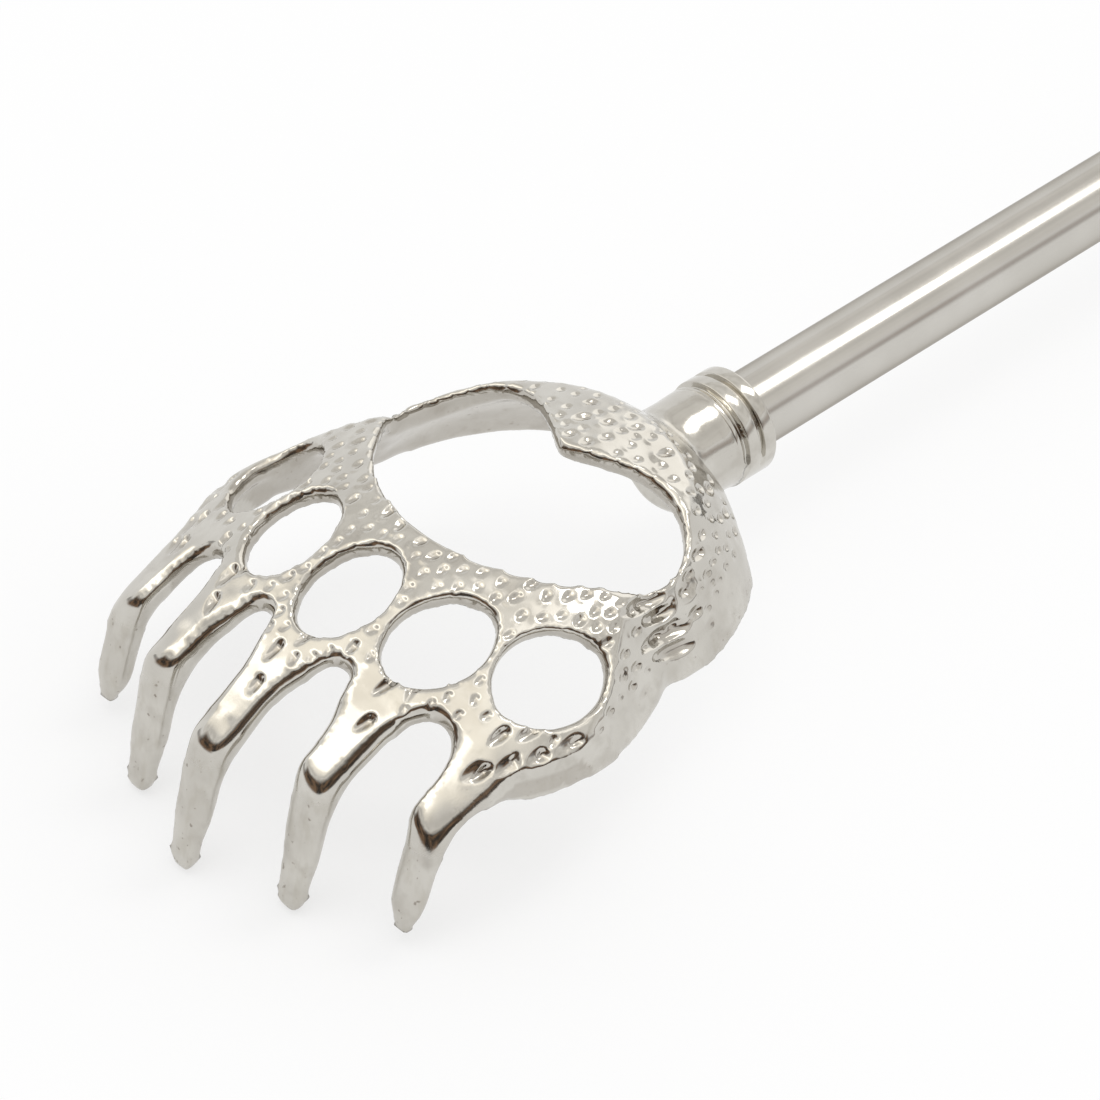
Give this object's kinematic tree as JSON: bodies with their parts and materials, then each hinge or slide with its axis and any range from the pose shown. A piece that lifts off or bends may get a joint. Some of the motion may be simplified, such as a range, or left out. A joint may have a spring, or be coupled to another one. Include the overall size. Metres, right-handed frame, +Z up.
{
  "type": "back scratcher",
  "caption": "Telescopic back scratcher: plated cast bear-paw head with bent claws on nested polished steel tubes, rubber grip and a plastic end cap with a hanging hole.",
  "frame": {"origin": "centre of the bounding box on the floor plane", "axes": "+X along the shaft towards the claws, +Z up, +Y to the left seen from the handle; the object lies on its claw tips and the rear of its grip"},
  "size_m": [0.3117, 0.0456, 0.021],
  "materials": {
    "plated_casting": "bright nickel plate over a textured zinc casting",
    "polished_steel": "polished stainless tube with a fine drawn grain",
    "brass": "bare turned brass, lightly oiled",
    "grip_rubber": "matt black moulded rubber",
    "cap_plastic": "satin black moulded plastic"
  },
  "bodies": {
    "handle": {"tube_1": "polished_steel", "grip_sleeve": "grip_rubber", "end_cap": "cap_plastic"},
    "shoes_2": {"shoe_2_upper": "brass", "shoe_2_lower": "brass"},
    "section_2": {"tube_2": "polished_steel", "tail_ring_2": "brass"},
    "shoes_3": {"shoe_3_upper": "brass", "shoe_3_lower": "brass"},
    "section_3": {"tube_3": "polished_steel", "tail_ring_3": "brass"},
    "shoes_4": {"shoe_4_upper": "brass", "shoe_4_lower": "brass"},
    "section_4": {"tube_4": "polished_steel", "tail_ring_4": "brass"},
    "shoes_5": {"shoe_5_upper": "brass", "shoe_5_lower": "brass"},
    "section_5": {"tube_5": "polished_steel", "tail_ring_5": "brass", "claw_head": "plated_casting"}
  },
  "joints": [
    {"name": "slide_2", "type": "slide", "parent": "handle", "child": "shoes_2", "axis": [0.9999, 0, 0.0111], "range_m": [0, 0.095]},
    {"name": "twist_2", "type": "hinge", "parent": "shoes_2", "child": "section_2", "pos_m": [0.09185, 0, 0.0115], "axis": [0.9999, 0, 0.0111], "continuous": true},
    {"name": "slide_3", "type": "slide", "parent": "section_2", "child": "shoes_3", "axis": [0.9999, 0, 0.0111], "range_m": [0, 0.095]},
    {"name": "twist_3", "type": "hinge", "parent": "shoes_3", "child": "section_3", "pos_m": [0.09185, 0, 0.0115], "axis": [0.9999, 0, 0.0111], "continuous": true},
    {"name": "slide_4", "type": "slide", "parent": "section_3", "child": "shoes_4", "axis": [0.9999, 0, 0.0111], "range_m": [0, 0.095]},
    {"name": "twist_4", "type": "hinge", "parent": "shoes_4", "child": "section_4", "pos_m": [0.09185, 0, 0.0115], "axis": [0.9999, 0, 0.0111], "continuous": true},
    {"name": "slide_5", "type": "slide", "parent": "section_4", "child": "shoes_5", "axis": [0.9999, 0, 0.0111], "range_m": [-0.095, 0]},
    {"name": "twist_5", "type": "hinge", "parent": "shoes_5", "child": "section_5", "pos_m": [0.09185, 0, 0.0115], "axis": [0.9999, 0, 0.0111], "continuous": true}
  ]
}
